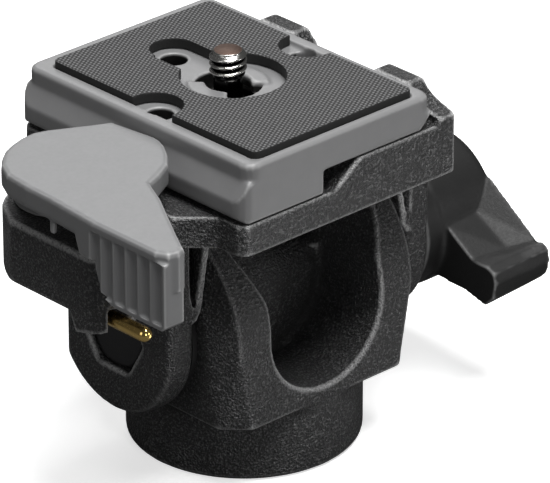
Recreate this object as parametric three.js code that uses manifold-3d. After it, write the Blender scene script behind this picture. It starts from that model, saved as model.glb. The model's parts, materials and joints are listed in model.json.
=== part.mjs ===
// Monopod tilt head with a quick-release camera plate.
// Millimetres, +Z up. The origin is the centre of the base's underside, where the monopod's stud enters.
// The tilt axis runs along X. The knob is on +X, and the quick-release lever and its housing are on -X.

import * as THREE from 'three';
import { mergeVertices } from 'three/addons/utils/BufferGeometryUtils.js';
import Module from 'manifold-3d';

const wasm = await Module();
wasm.setup();

// Clearances and the roundness of arcs
const touchGap = 0.3;
const overrun = 1;
const arcStepAngle = Math.PI / 14;
const fineArcStepAngle = Math.PI / 24;

// Base: a round foot with a threaded socket, and a fork of two discs above it
const foot = { radius: 20.46, height: 13, edge: 0.8 };
const socket = { majorRadius: 4.76, threadDepth: 0.8, pitch: 1.5875, depth: 11, mouth: 0.9 };
const pocket = { radius: 12.6, floor: 2.8, straightRise: 6.6, flareRise: 14.1, flareOut: 3, topOut: 4.4 };
const fork = {
  halfWidth: 22.9,
  taper: 1.6,
  armReach: 8.1,
  sideChamfer: 3,
  faceChamfer: 5.2,
  lowChamfer: 4.2,
};
const web = { radius: 5.2, beadWidth: 1.5, beadRise: 0.9, beadCrest: 0.5 };
const webBeadTopAngle = Math.PI / 8;
const webBeadBottomAngle = -Math.PI / 2.3;
const bolt = {
  radius: 4,
  clearance: 0.3,
  headAcross: 12,
  headHeight: 2.9,
  headSunk: 1,
  headChamfer: 0.5,
};
const frictionWasher = { rim: 1, thickness: 1 };

// Platform: two ears, a seat plate, a fixed jaw on +X and a lever housing on -X
const ear = {
  thickness: 5.7,
  radius: 14.5,
  backDepth: 12.1,
  frontDepth: 14.9,
  edgeRound: 1.4,
  recessSlack: 0.3,
  shoulderRise: 3.5,
  shoulderReach: 8.5,
};
const gusset = {
  depth: 2.9,
  foot: 5.6,
  lowIn: 1.2,
  lowRise: 7.6,
  midIn: 2.5,
  midRise: 15.6,
  topIn: 3.3,
  topDrop: 2.5,
};
const groove = { depth: 3, outer: 2.1, inner: 2.3, apexOut: 0.8, apexRise: 4.6 };
const seat = {
  clearance: 1.4,
  thickness: 5.8,
  halfLength: 27.5,
  plateOverhang: 0.4,
  cornerIn: 1.2,
  cornerRun: 1.4,
  curveStartInset: 5.5,
  curveRun: 5.5,
  curveReach: 5.7,
};
const wall = { gap: 0.435, thickness: 3.365, height: 4.2, crest: 1 };
const endBlock = { length: 6, slopeFoot: -5, slopeRun: 5.6 };
const hook = { rise: 5.8, inset: 1.1, sideRun: 1.7, rampRise: 3.2 };
const hookPlaceShares = [
  { rampFrom: -1, from: -0.82, to: -0.4 },
  { rampFrom: 0.193, from: 0.193, to: 0.618 },
];
const housing = {
  reach: 23.8,
  height: 11.8,
  drop: 1.3,
  front: 20.5,
  cornerRound: 5,
  bevel: 0.9,
  frontInset: 3,
  curveStart: 3,
  curveIn: 3.8,
  curveDepth: 9.4,
  backDepth: 13,
  backIn: 8.5,
  backCurve: 1,
  roof: 4,
  cavityRadius: 7.8,
};
const pinBoss = { width: 6.5, drop: 3.1, back: 11.4, backRun: 1.1, frontDrop: 1 };

// Quick-release lever, its pivot and its return spring
const lever = {
  pivotInset: 11.5,
  pivotY: 3,
  belowPlate: 2.15,
  thickness: 4.4,
  thickEnd: 7.2,
  thickStart: 16.9,
  thickRun: 1.4,
  edgeRound: 0.8,
  length: 42,
  hubRadius: 8,
  hubClearance: 0.4,
  journalRadius: 3.6,
  journalLength: 8,
  plateGap: 0.4,
  slopeGap: 0.6,
};
const leverLug = { width: 1.1, depth: 0.9, drop: 2.2 };
const leverLugOutShare = 0.331;
const leverLugFrontShare = 0.314;
const grip = {
  thickness: 4.2,
  out: 3.7,
  drop: 13.7,
  front: 21.4,
  corner: 5.9,
  shoulder: 2.3,
  shoulderDrop: 1.7,
};
const flute = { radius: 1.7, depth: 0.6, pitch: 2.95, firstY: -22, topDrop: 1.9, bottomRise: 0.9 };
const fluteCount = 6;
const leverScrew = { radius: 2, depth: 10, headRadius: 3.6, headHeight: 2, slotWidth: 1, slotDepth: 0.9 };
const leverWasher = { radius: 6, thickness: 1 };
const torsionSpring = { radius: 5.1, wireRadius: 0.45, pitch: 1.4, turns: 1.7 };

// Safety pin that blocks the lever, with its axle and spring
const safetyPin = {
  radius: 1.35,
  inset: 3.5,
  rise: 0.4,
  reach: 6.5,
  pivotY: -13.4,
  tail: 4.4,
};
const pinSlot = { clearance: 0.35, roofRise: 2.6, endGap: 1 };
const pinAxle = { radius: 0.5, clearance: 0.1, cover: 1 };
const pinSpring = { radius: 0.8, wireRadius: 0.15, pitch: 0.9, turns: 3, tailInset: 1.2, sideGap: 0.3 };

// Trigger plunger that the camera plate holds down
const plunger = {
  inset: 3.8,
  y: 8,
  radius: 2.5,
  wall: 0.6,
  cap: 0.8,
  flangeRadius: 3.1,
  flangeHeight: 0.7,
  travel: 3,
};
const triggerClip = { thickness: 0.4 };
const triggerSpring = { radius: 1.4, wireRadius: 0.2, pitch: 0.85, turns: 4 };

// Tilt knob with one wing
const thrustWasher = { radius: 9.5, thickness: 0.8 };
const knob = {
  hubRadius: 12.8,
  length: 17.2,
  hubRound: 1.6,
  collarIn: 0.25,
  collarLength: 3.6,
  boreDepth: 12.5,
};
const wing = { inset: 4.4, width: 12, reach: 26.3, height: 16.4 };
const wingMiddleShare = 0.6;
const insert = { across: 13, length: 9 };

// Camera plate, its rubber pad, its screw and the ring that keeps the screw in
const plate = {
  centreX: -3.5,
  width: 41.6,
  rimCorner: 2,
  edgeChamfer: 0.5,
  slopeRun: 1.8,
  slopeFoot: 3.8,
  slopeHeight: 3.35,
  rimHeight: 3.2,
  cornerRound: 2.2,
  footChamfer: 1,
  footChamferRun: 1.6,
  flangeGap: 0.3,
  flangeCorner: 2.4,
  footEnd: -7.4,
  floorRise: 5.8,
  wall: 3.9,
  endWall: 4,
};
const pad = {
  thickness: 1.9,
  sunk: 0.9,
  seatGap: 0.1,
  sideInset: 2.55,
  frontInset: 1.45,
  backInset: 3.2,
  edgeGap: 0.25,
  corner: 1.4,
};
const padWindow = { y: -1.2, lobeY: 13.5, lobeRadius: 4.1, neckLeft: 4.6, neckRight: 4.1 };
const padNotch = { inset: 3.525, y: -0.9 };
const padWindowRadiusShare = 0.2172;
const padNotchRadiusShare = 0.1149;
const plateHole = { radius: 2.4, inset: 4.625 };
const screwHole = { radius: 5.8, tabInner: 3.9, tabRise: 0.45, tabThickness: 2.3 };
const tabStartAngle = -Math.PI / 4;
const screwBoss = { innerRadius: 8, wall: 2 };
const cameraScrew = {
  majorRadius: 3.175,
  threadDepth: 0.75,
  pitch: 1.27,
  reach: 4.3,
  tipChamfer: 0.8,
  neckRadius: 2.6,
  neckLength: 2.3,
  headRadius: 7.6,
  headHeight: 3.4,
  headGap: 0.5,
  slotWidth: 1.6,
  slotDepth: 1.6,
};
const retainingRing = { innerRadius: 6.1, thickness: 0.7, gapAngle: Math.PI / 5 };

// Places across the head, worked out from the sizes above
const washerFace = fork.halfWidth + touchGap;
const washerRadius = ear.radius - frictionWasher.rim;
const earInner = washerFace + frictionWasher.thickness + touchGap;
const earOuter = earInner + ear.thickness;
const boltBore = bolt.radius + bolt.clearance;
const boltHeadOuter = earOuter - bolt.headSunk;
const boltHeadInner = boltHeadOuter - bolt.headHeight;
const thrustInner = earOuter + touchGap;
const knobInner = thrustInner + thrustWasher.thickness + touchGap;
const knobOuter = knobInner + knob.length;
const wingInner = knobInner + wing.inset;
const plateLeft = plate.centreX - plate.width / 2;
const plateRight = plate.centreX + plate.width / 2;
const plateHalfLength = seat.halfLength;
const slopeLeft = plateLeft - plate.slopeRun;
const slopeRight = plateRight + plate.slopeRun;
const padWindowRadius = plate.width * padWindowRadiusShare;
const padNotchRadius = plate.width * padNotchRadiusShare;
const wallInner = slopeRight + wall.gap;
const wallOuter = wallInner + wall.thickness;
const seatReach = -slopeLeft - seat.plateOverhang;
const curveOuter = seatReach + seat.curveReach;
const curveEnd = seat.halfLength - seat.curveStartInset - seat.curveRun;
const housingOuter = seatReach + housing.reach;
const pivotX = lever.pivotInset - housingOuter;
const gripOuter = housingOuter + grip.out;
const gripEnd = lever.pivotY - lever.length + touchGap;
const pinX = safetyPin.inset - housingOuter;
const pinBack = safetyPin.pivotY + safetyPin.tail;
const pinSpringY = pinBack - pinSpring.tailInset;
const plungerX = plunger.inset - seatReach;

// Heights, stacked from the foot up
const tiltAxisHeight = foot.height + pocket.floor + pocket.radius;
const discRadius = pocket.radius + fork.armReach;
const seatBottom = tiltAxisHeight + discRadius + seat.clearance;
const seatTop = seatBottom + seat.thickness;
const wallTop = seatTop + wall.height;
const hookTop = wallTop + hook.rise;
const plateBottom = seatTop + touchGap;
const slopeBottom = plateBottom + plate.slopeFoot;
const slopeTop = slopeBottom + plate.slopeHeight;
const plateTop = slopeTop + plate.rimHeight;
const flangeBottom = wallTop + plate.flangeGap;
const floorUnder = plateBottom + plate.floorRise;
const padFloor = plateTop - pad.sunk;
const padTop = padFloor + pad.seatGap + pad.thickness;
const screwHeadTop = floorUnder - cameraScrew.headGap;
const screwTop = padTop + cameraScrew.reach;
const housingTop = seatTop - housing.drop;
const housingBottom = housingTop - housing.height;
const cavityTop = housingTop - housing.roof;
const leverTop = plateTop - lever.belowPlate;
const leverBottom = leverTop - lever.thickness;
const leverThickBottom = leverTop - lever.thickEnd;
const journalBottom = housingTop - lever.journalLength;
const washerTop = journalBottom - touchGap;
const gripBottom = leverTop - grip.drop;
const pinZ = housingBottom + safetyPin.rise;
const pinSlotRoof = pinZ + pinSlot.roofRise;
const pinSpringBottom = pinZ + safetyPin.radius + touchGap / 3;
const pinSpringHeight = pinSpring.turns * pinSpring.pitch + 2 * pinSpring.wireRadius;
const pinSpringTop = pinSpringBottom + pinSpringHeight + touchGap / 3;
const plungerTop = plateBottom - touchGap - touchGap / 3;
const plungerBottom = seatBottom + triggerClip.thickness + touchGap;

// Helpers: outlines, solids and placed meshes

function arcPoints(centreA, centreB, radius, startAngle, endAngle, stepAngle = arcStepAngle) {
  const count = Math.max(2, Math.ceil(Math.abs(endAngle - startAngle) / stepAngle));
  const points = [];
  for (let step = 0; step <= count; step += 1) {
    const angle = startAngle + ((endAngle - startAngle) * step) / count;
    points.push([centreA + radius * Math.cos(angle), centreB + radius * Math.sin(angle)]);
  }
  return points;
}

function circlePoints(centreA, centreB, radius, stepAngle = arcStepAngle) {
  return arcPoints(centreA, centreB, radius, 0, 2 * Math.PI, stepAngle).slice(0, -1);
}

function rectanglePoints(lowA, lowB, highA, highB) {
  return [[lowA, lowB], [highA, lowB], [highA, highB], [lowA, highB]];
}

function roundedRectanglePoints(lowA, lowB, highA, highB, radius) {
  const quarter = Math.PI / 2;
  return [
    ...arcPoints(highA - radius, lowB + radius, radius, -quarter, 0, quarter / 3),
    ...arcPoints(highA - radius, highB - radius, radius, 0, quarter, quarter / 3),
    ...arcPoints(lowA + radius, highB - radius, radius, quarter, 2 * quarter, quarter / 3),
    ...arcPoints(lowA + radius, lowB + radius, radius, 2 * quarter, 3 * quarter, quarter / 3),
  ];
}

function hexagonPoints(centreA, centreB, acrossFlats) {
  const points = [];
  for (let corner = 0; corner < 6; corner += 1) {
    const angle = (corner * Math.PI) / 3;
    const radius = acrossFlats / Math.sqrt(3);
    points.push([centreA + radius * Math.cos(angle), centreB + radius * Math.sin(angle)]);
  }
  return points;
}

function splinePoints(points, perSpan) {
  const curve = new THREE.SplineCurve(points.map(([a, b]) => new THREE.Vector2(a, b)));
  return curve.getPoints(perSpan * (points.length - 1)).map((point) => [point.x, point.y]);
}

function shapeOf(points) {
  return new THREE.Shape(points.map(([a, b]) => new THREE.Vector2(a, b)));
}

// A closed geometry becomes a solid whose faces point out.
function solidOf(geometry) {
  geometry.deleteAttribute('normal');
  geometry.deleteAttribute('uv');
  const merged = mergeVertices(geometry);
  const vertices = Float32Array.from(merged.getAttribute('position').array);
  const index = merged.getIndex().array;
  const triangles = [];
  let volume = 0;
  for (let start = 0; start < index.length; start += 3) {
    const [a, b, c] = [index[start], index[start + 1], index[start + 2]];
    if (a !== b && b !== c && c !== a) {
      triangles.push(a, b, c);
      const [p, q, r] = [a, b, c].map((corner) => new THREE.Vector3().fromArray(vertices, corner * 3));
      volume += p.dot(q.cross(r));
    }
  }
  const turned = volume < 0 ? triangles.reverse() : triangles;
  return new wasm.Manifold(new wasm.Mesh({
    numProp: 3,
    vertProperties: vertices,
    triVerts: Uint32Array.from(turned),
  }));
}

function extruded(points, from, to, round = 0) {
  const geometry = new THREE.ExtrudeGeometry(shapeOf(points), {
    depth: to - from - 2 * round,
    bevelEnabled: round > 0,
    bevelThickness: round,
    bevelSize: round,
    bevelOffset: -round,
    bevelSegments: 2,
  });
  geometry.translate(0, 0, from + round);
  return geometry;
}

const planeYZ = new THREE.Matrix4().makeBasis(
  new THREE.Vector3(0, 1, 0), new THREE.Vector3(0, 0, 1), new THREE.Vector3(1, 0, 0),
);
const planeXZ = new THREE.Matrix4().makeBasis(
  new THREE.Vector3(1, 0, 0), new THREE.Vector3(0, 0, 1), new THREE.Vector3(0, -1, 0),
);

// Outlines drawn in y and z run along X, those in x and z along Y, and those in x and y along Z.
function alongX(points, from, to, round = 0) {
  return solidOf(extruded(points, from, to, round).applyMatrix4(planeYZ));
}

function alongY(points, from, to) {
  return solidOf(extruded(points, -to, -from).applyMatrix4(planeXZ));
}

function alongZ(points, from, to, round = 0) {
  return solidOf(extruded(points, from, to, round));
}

function box(lowX, lowY, lowZ, highX, highY, highZ) {
  return alongZ(rectanglePoints(lowX, lowY, highX, highY), lowZ, highZ);
}

// A profile of [radius, height] points turned about an axis along Z or X through a place.
function turned(profile, sides) {
  const points = profile.map(([radius, height]) => new THREE.Vector2(radius, height));
  return new THREE.LatheGeometry(points, sides);
}

function turnedZ(profile, x, y, sides = 32) {
  return solidOf(turned(profile, sides).rotateX(Math.PI / 2).translate(x, y, 0));
}

function turnedX(profile, sides = 32) {
  return solidOf(turned(profile, sides).rotateZ(-Math.PI / 2).translate(0, 0, tiltAxisHeight));
}

function drumProfile(radius, from, to) {
  return [[0, from], [radius, from], [radius, to], [0, to]];
}

function ringProfile(inner, outer, from, to) {
  return [[inner, from], [outer, from], [outer, to], [inner, to], [inner, from]];
}

function drumZ(x, y, radius, from, to, sides) {
  return turnedZ(drumProfile(radius, from, to), x, y, sides);
}

function drumX(radius, from, to, sides) {
  return turnedX(drumProfile(radius, from, to), sides);
}

// Rings of equal point counts are joined one to the next and capped at both ends.
function capTriangles(points) {
  return THREE.ShapeUtils.triangulateShape(points.map(([a, b]) => new THREE.Vector2(a, b)), []);
}

function gridSolid(rings, firstCapPoints, lastCapPoints = firstCapPoints) {
  const count = rings[0].length;
  const positions = rings.flat(2);
  const index = [];
  for (let ring = 0; ring + 1 < rings.length; ring += 1) {
    for (let side = 0; side < count; side += 1) {
      const next = (side + 1) % count;
      const [a, b] = [ring * count + side, ring * count + next];
      index.push(a, b, b + count, a, b + count, a + count);
    }
  }
  for (const [a, b, c] of capTriangles(firstCapPoints)) {
    index.push(c, b, a);
  }
  const last = (rings.length - 1) * count;
  for (const [a, b, c] of capTriangles(lastCapPoints)) {
    index.push(last + a, last + b, last + c);
  }
  const geometry = new THREE.BufferGeometry();
  geometry.setAttribute('position', new THREE.Float32BufferAttribute(positions, 3));
  geometry.setIndex(index);
  return solidOf(geometry);
}

// Two outlines of equal point counts, the first at one end and the second at the other.
function loftZ(lowPoints, highPoints, from, to) {
  const rings = [lowPoints.map(([x, y]) => [x, y, from]), highPoints.map(([x, y]) => [x, y, to])];
  return gridSolid(rings, lowPoints, highPoints);
}

// A right-hand screw thread: the radius follows the height and the angle.
function threadZ(x, y, majorRadius, depth, pitch, from, to) {
  const sides = 16;
  const rowsPerTurn = 4;
  const rowCount = Math.round(((to - from) * rowsPerTurn) / pitch);
  const rings = [];
  for (let row = 0; row <= rowCount; row += 1) {
    const height = from + ((to - from) * row) / rowCount;
    const ring = [];
    for (let side = 0; side < sides; side += 1) {
      const angle = (side * 2 * Math.PI) / sides;
      const phase = (((height - from) / pitch - side / sides) % 1 + 1) % 1;
      const radius = majorRadius - depth * (1 - Math.abs(2 * phase - 1));
      ring.push([x + radius * Math.cos(angle), y + radius * Math.sin(angle), height]);
    }
    rings.push(ring);
  }
  return gridSolid(rings, circlePoints(0, 0, majorRadius, (2 * Math.PI) / sides));
}

// A coil spring of round wire standing on a height, as one unbroken tube.
function coilZ(x, y, spring, bottom) {
  const stepsPerTurn = 8;
  const wireSides = 5;
  const steps = Math.round(spring.turns * stepsPerTurn);
  const rings = [];
  for (let step = 0; step <= steps; step += 1) {
    const angle = (step * 2 * Math.PI) / stepsPerTurn;
    const height = bottom + spring.wireRadius + (spring.pitch * step) / stepsPerTurn;
    const ring = [];
    for (let side = 0; side < wireSides; side += 1) {
      const turn = (side * 2 * Math.PI) / wireSides;
      const radius = spring.radius + spring.wireRadius * Math.cos(turn);
      ring.push([
        x + radius * Math.cos(angle),
        y + radius * Math.sin(angle),
        height + spring.wireRadius * Math.sin(turn),
      ]);
    }
    rings.push(ring);
  }
  return gridSolid(rings, circlePoints(0, 0, spring.wireRadius, (2 * Math.PI) / wireSides));
}

function mirroredX(points) {
  return points.map(([x, other]) => [-x, other]).reverse();
}

// Finishes
const finishes = {
  castBlack: { color: 0x1c1c1d, roughness: 0.62, metalness: 0.1 },
  satinBlack: { color: 0x232427, roughness: 0.42, metalness: 0 },
  plateGrey: { color: 0x8b8c8d, roughness: 0.5, metalness: 0.2 },
  leverGrey: { color: 0x5d5e60, roughness: 0.48, metalness: 0.2 },
  rubber: { color: 0x5a5b5d, roughness: 0.9, metalness: 0 },
  steel: { color: 0x8d8a86, roughness: 0.3, metalness: 1 },
  darkSteel: { color: 0x2b2b2d, roughness: 0.5, metalness: 0.6 },
  brass: { color: 0xb98a3a, roughness: 0.28, metalness: 1 },
  blackNylon: { color: 0x202021, roughness: 0.5, metalness: 0 },
};

const head = new THREE.Group();

function addPiece(name, solid, finish) {
  const mesh = solid.getMesh();
  const geometry = new THREE.BufferGeometry();
  geometry.setAttribute('position', new THREE.BufferAttribute(Float32Array.from(mesh.vertProperties), 3));
  geometry.setIndex(new THREE.BufferAttribute(Uint32Array.from(mesh.triVerts), 1));
  geometry.computeVertexNormals();
  const piece = new THREE.Mesh(geometry, new THREE.MeshStandardMaterial(finishes[finish]));
  piece.name = name;
  head.add(piece);
}

// Base with its foot, fork discs, open pockets and central web
function octagonPoints(halfWidth, halfDepth, widthChamfer, depthChamfer) {
  return [
    [halfWidth - widthChamfer, -halfDepth],
    [halfWidth, depthChamfer - halfDepth],
    [halfWidth, halfDepth - depthChamfer],
    [halfWidth - widthChamfer, halfDepth],
    [widthChamfer - halfWidth, halfDepth],
    [-halfWidth, halfDepth - depthChamfer],
    [-halfWidth, depthChamfer - halfDepth],
    [widthChamfer - halfWidth, -halfDepth],
  ];
}

function makeFork() {
  const block = loftZ(
    octagonPoints(fork.halfWidth - fork.taper, discRadius, fork.lowChamfer, fork.lowChamfer),
    octagonPoints(fork.halfWidth, discRadius, fork.sideChamfer, fork.faceChamfer),
    foot.height,
    tiltAxisHeight,
  );
  const faceRadius = discRadius - fork.faceChamfer;
  const rimReach = fork.halfWidth - fork.sideChamfer;
  const discs = turnedX([
    [0, -fork.halfWidth],
    [faceRadius, -fork.halfWidth],
    [discRadius, -rimReach],
    [discRadius, rimReach],
    [faceRadius, fork.halfWidth],
    [0, fork.halfWidth],
  ], 72).intersect(box(
    -fork.halfWidth - overrun,
    -discRadius - overrun,
    tiltAxisHeight,
    fork.halfWidth + overrun,
    discRadius + overrun,
    tiltAxisHeight + discRadius + overrun,
  ));
  return block.add(discs);
}

// The bead is the raised line along which the web meets the pocket's curved wall.
function makeWebBead() {
  const inner = pocket.radius - web.beadWidth;
  const crest = pocket.radius - web.beadCrest;
  const outer = pocket.radius + overrun;
  const high = web.radius + web.beadRise;
  const low = web.radius - web.beadRise;
  const ring = solidOf(turned([
    [inner, -low],
    [crest, -high],
    [outer, -high],
    [outer, high],
    [crest, high],
    [inner, low],
    [inner, -low],
  ], 72).translate(0, 0, tiltAxisHeight));
  const wedge = [
    [0, tiltAxisHeight],
    ...arcPoints(0, tiltAxisHeight, 2 * pocket.radius, webBeadBottomAngle, webBeadTopAngle),
  ];
  const right = alongY(wedge, -high - overrun, high + overrun);
  const left = alongY(mirroredX(wedge), -high - overrun, high + overrun);
  return ring.intersect(right.add(left));
}

function makeBase() {
  const footSolid = turnedZ([
    [0, 0],
    [foot.radius - foot.edge, 0],
    [foot.radius, foot.edge],
    [foot.radius, foot.height + overrun],
    [0, foot.height + overrun],
  ], 0, 0, 90);
  const rightSide = [
    [pocket.radius, tiltAxisHeight + pocket.straightRise],
    [pocket.radius + pocket.flareOut, tiltAxisHeight + pocket.flareRise],
    [pocket.radius + pocket.topOut, tiltAxisHeight + discRadius + overrun],
  ];
  const pocketCut = alongY([
    ...arcPoints(0, tiltAxisHeight, pocket.radius, -Math.PI, 0, fineArcStepAngle),
    ...rightSide,
    ...mirroredX(rightSide),
  ], -discRadius - overrun, discRadius + overrun);
  const webReach = pocket.radius + overrun;
  const webSolid = box(-webReach, -web.radius, foot.height, webReach, web.radius, tiltAxisHeight)
    .add(drumX(web.radius, -pocket.radius - pocket.topOut, pocket.radius + pocket.topOut));
  const bore = drumX(boltBore, -fork.halfWidth - overrun, fork.halfWidth + overrun, 24);
  const mouth = turnedZ([
    [0, -overrun],
    [socket.majorRadius + socket.mouth + overrun, -overrun],
    [socket.majorRadius - socket.threadDepth, socket.mouth + socket.threadDepth],
    [0, socket.mouth + socket.threadDepth],
  ], 0, 0);
  const thread = threadZ(
    0,
    0,
    socket.majorRadius,
    socket.threadDepth,
    socket.pitch,
    -overrun,
    socket.depth,
  );
  return footSolid.add(makeFork())
    .subtract(pocketCut.subtract(webSolid).subtract(makeWebBead()))
    .subtract(bore)
    .subtract(thread)
    .subtract(mouth);
}

addPiece('base_body', makeBase(), 'castBlack');

// Friction washers between the fork discs and the ears
function makeFrictionWasher(side) {
  const near = side * washerFace;
  const far = side * (washerFace + frictionWasher.thickness);
  return turnedX(ringProfile(boltBore, washerRadius, Math.min(near, far), Math.max(near, far)), 36);
}

addPiece('left_friction_washer', makeFrictionWasher(-1), 'blackNylon');
addPiece('right_friction_washer', makeFrictionWasher(1), 'blackNylon');

// Platform casting: each ear is a rounded disc on a neck, with a shoulder under the seat
function onSide(side, points) {
  return side < 0 ? mirroredX(points) : points;
}

function makeEar(side) {
  const earTop = seatBottom + ear.edgeRound + touchGap;
  const flatAngle = Math.acos(ear.backDepth / ear.radius);
  const outline = [
    [ear.backDepth, earTop],
    ...arcPoints(0, tiltAxisHeight, ear.radius, -flatAngle, -Math.PI, fineArcStepAngle),
    [-ear.frontDepth, earTop],
  ];
  const [from, to] = side < 0 ? [-earOuter, -earInner] : [earInner, earOuter];
  const shoulderTop = seatBottom + ear.shoulderRise;
  const shoulder = onSide(side, [
    [earInner - ear.shoulderReach, seatBottom],
    [earOuter, seatBottom],
    [earOuter, shoulderTop - ear.edgeRound],
    [earOuter - ear.edgeRound, shoulderTop],
    [earInner - ear.shoulderReach, shoulderTop],
  ]);
  const gussetOutline = onSide(side, [
    [earInner, tiltAxisHeight + gusset.foot],
    [earInner + overrun, tiltAxisHeight + gusset.foot],
    [earInner + overrun, seatBottom + overrun],
    [earInner - gusset.topIn, seatBottom + overrun],
    [earInner - gusset.topIn, seatBottom - gusset.topDrop],
    [earInner - gusset.midIn, tiltAxisHeight + gusset.midRise],
    [earInner - gusset.lowIn, tiltAxisHeight + gusset.lowRise],
  ]);
  const grooveTop = seatBottom - touchGap;
  const grooveRing = (apexOut, outer, y) => onSide(side, [
    [earInner + apexOut, tiltAxisHeight + groove.apexRise],
    [earInner + outer, grooveTop],
    [earInner - groove.inner, grooveTop],
  ]).map(([x, z]) => [x, y, z]);
  const grooveFront = grooveRing(groove.apexOut, groove.outer, -ear.frontDepth - overrun);
  const grooveBack = grooveRing(0, 0, groove.depth - ear.frontDepth);
  const grooveCap = grooveFront.map(([x, , z]) => [x, z]);
  return alongX(outline, from, to, ear.edgeRound)
    .add(alongY(shoulder, -ear.frontDepth, ear.backDepth))
    .add(alongY(gussetOutline, -ear.frontDepth, gusset.depth - ear.frontDepth))
    .subtract(gridSolid([grooveFront, grooveBack], grooveCap));
}

function makeSeatPlate() {
  const curveShares = [[0, 0], [0.29, 0.33], [1, 1]];
  const curve = splinePoints(curveShares.map(([outShare, runShare]) => [
    -seatReach - seat.curveReach * outShare,
    seat.curveStartInset + seat.curveRun * runShare - seat.halfLength,
  ]), 3);
  const outline = [
    [-seatReach, seat.cornerRun - seat.halfLength],
    [seat.cornerIn - seatReach, -seat.halfLength],
    [wallOuter, -seat.halfLength],
    [wallOuter, seat.halfLength],
    [seat.cornerIn - seatReach, seat.halfLength],
    [-seatReach, seat.halfLength - seat.cornerRun],
    [-seatReach, housing.backDepth + overrun],
    [-curveOuter, housing.backDepth],
    ...curve.reverse(),
  ];
  return alongZ(outline, seatBottom, seatTop);
}

function makeJaw() {
  const crestTop = wallTop + wall.crest;
  const rail = alongY([
    [wallInner, seatBottom],
    [wallOuter, seatBottom],
    [wallOuter, crestTop],
    [wallInner, wallTop],
  ], -seat.halfLength, seat.halfLength);
  const block = alongY([
    [endBlock.slopeFoot, seatTop],
    [endBlock.slopeFoot, seatBottom],
    [wallOuter, seatBottom],
    [wallOuter, wallTop],
    [endBlock.slopeFoot + endBlock.slopeRun, wallTop],
  ], -seat.halfLength, endBlock.length - seat.halfLength);
  const hookSection = [
    [wallInner, seatTop],
    [wallOuter, seatTop],
    [wallOuter, crestTop],
    [wallOuter - hook.inset, hookTop],
    [plateRight + wall.gap, hookTop],
    [plateRight + wall.gap, slopeTop],
    [wallInner, slopeBottom],
  ];
  let jaw = rail.add(block);
  for (const shares of hookPlaceShares) {
    const from = seat.halfLength * shares.from;
    const to = seat.halfLength * shares.to;
    const rampFrom = seat.halfLength * shares.rampFrom;
    const side = [
      [from, seatTop],
      [to, seatTop],
      [to, crestTop],
      [to - hook.sideRun, hookTop],
      [from + hook.sideRun, hookTop],
      [from, wallTop + hook.rampRise],
    ];
    if (shares.rampFrom < shares.from) {
      side.push([rampFrom, crestTop], [rampFrom, seatTop]);
    }
    const hookSolid = alongY(hookSection, rampFrom, to)
      .intersect(alongX(side, plateRight, wallOuter + overrun));
    jaw = jaw.add(hookSolid);
  }
  return jaw;
}

// The housing and the pin boss below it share one outline with a big round corner.
function makeHousing() {
  const corner = housing.cornerRound;
  const outline = [
    [-seatReach, housing.frontInset - curveEnd],
    [-seatReach, housing.backDepth],
    ...splinePoints([
      [housing.backIn - housingOuter, housing.backDepth - housing.backCurve],
      [housing.curveIn - housingOuter, housing.curveDepth],
      [-housingOuter, housing.curveStart],
    ], 3),
    ...arcPoints(
      corner - housingOuter,
      corner - housing.front,
      corner,
      Math.PI,
      1.5 * Math.PI,
      Math.PI / 12,
    ),
    [-curveOuter - housing.frontInset, -housing.front],
    [-curveOuter, -curveEnd],
  ];
  const lowerEdge = alongY([
    [-housingOuter - overrun, housingBottom - overrun],
    [housing.bevel - housingOuter + overrun, housingBottom - overrun],
    [-housingOuter - overrun, housingBottom + housing.bevel + overrun],
  ], -housing.front - overrun, housing.backDepth + overrun);
  const bossBottom = housingBottom - pinBoss.drop;
  const bossOutline = [
    [-pinBoss.back, cavityTop],
    [-pinBoss.back, housingBottom],
    [-pinBoss.back - pinBoss.backRun, bossBottom],
    [-housing.front, housingBottom - pinBoss.frontDrop],
    [-housing.front, cavityTop],
  ];
  const boss = alongX(bossOutline, -housingOuter, pinBoss.width - housingOuter)
    .intersect(alongZ(outline, bossBottom - overrun, housingTop));
  return alongZ(outline, housingBottom, housingTop).subtract(lowerEdge).add(boss);
}

// The pin's slot is open below, and its spring has a pocket above the pin's tail.
function makePinSlot() {
  const halfWidth = safetyPin.radius + pinSlot.clearance;
  const springPocketRadius = pinSpring.radius + pinSpring.wireRadius + pinSpring.sideGap;
  return box(
    pinX - halfWidth,
    -housing.front - overrun,
    housingBottom - pinBoss.drop - overrun,
    pinX + halfWidth,
    pinBack + pinSlot.endGap,
    pinSlotRoof,
  ).add(drumZ(pinX, pinSpringY, springPocketRadius, pinZ, pinSpringTop, 16));
}

function pinAxleDrum(radius, from, to) {
  return solidOf(turned(drumProfile(radius, from, to), 16)
    .rotateZ(-Math.PI / 2)
    .translate(0, safetyPin.pivotY, pinZ));
}

function makePinAxleBore() {
  return pinAxleDrum(
    pinAxle.radius + pinAxle.clearance,
    pinAxle.cover - housingOuter,
    pinBoss.width - housingOuter + overrun,
  );
}

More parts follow.
